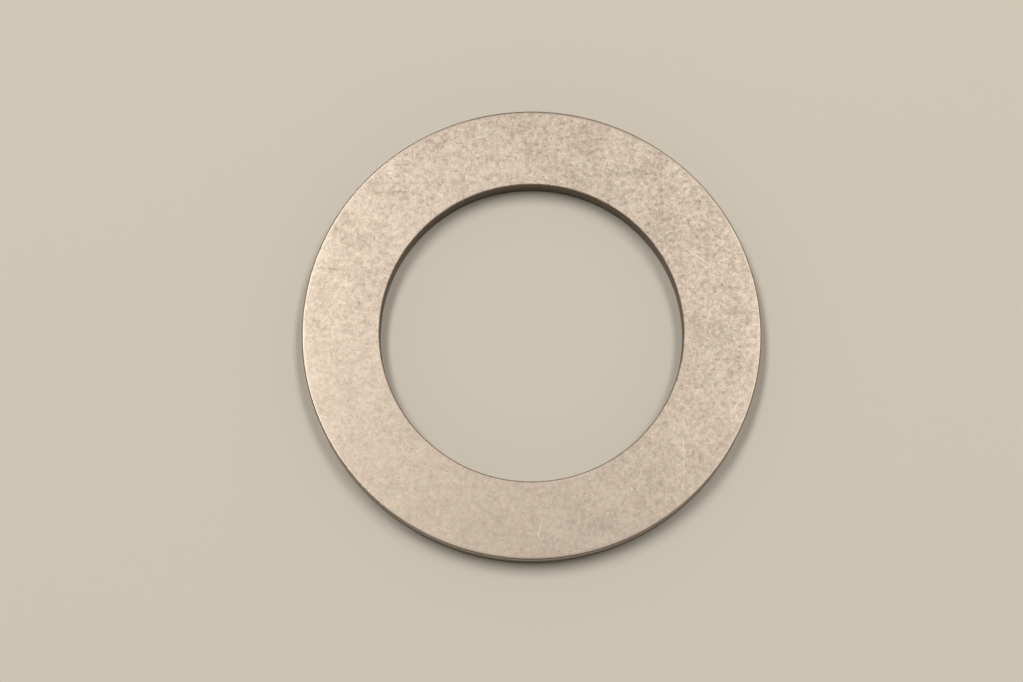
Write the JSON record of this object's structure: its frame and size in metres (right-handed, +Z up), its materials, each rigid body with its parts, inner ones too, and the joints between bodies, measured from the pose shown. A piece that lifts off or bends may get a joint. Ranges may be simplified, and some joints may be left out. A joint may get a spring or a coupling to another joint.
{
  "type": "shim ring",
  "caption": "Flat round steel spacer ring with a plain through bore, a light chamfer in the bore and rounded outer rims, slipped over a shaft to set an axial gap.",
  "frame": {"origin": "centre of the bore in the plane of the underside, the face that the ring lies on", "axes": "+Z up along the bore's axis, from the underside to the upper face; the ring is round, so +X and +Y are any two square directions in its plane"},
  "size_m": [0.05, 0.05, 0.0026],
  "materials": {
    "tumbled_steel": "flat ground and tumbled steel, satin, with a dense net of fine short scratches in all directions"
  },
  "bodies": {
    "root": {"shim_ring": "tumbled_steel"}
  },
  "joints": []
}
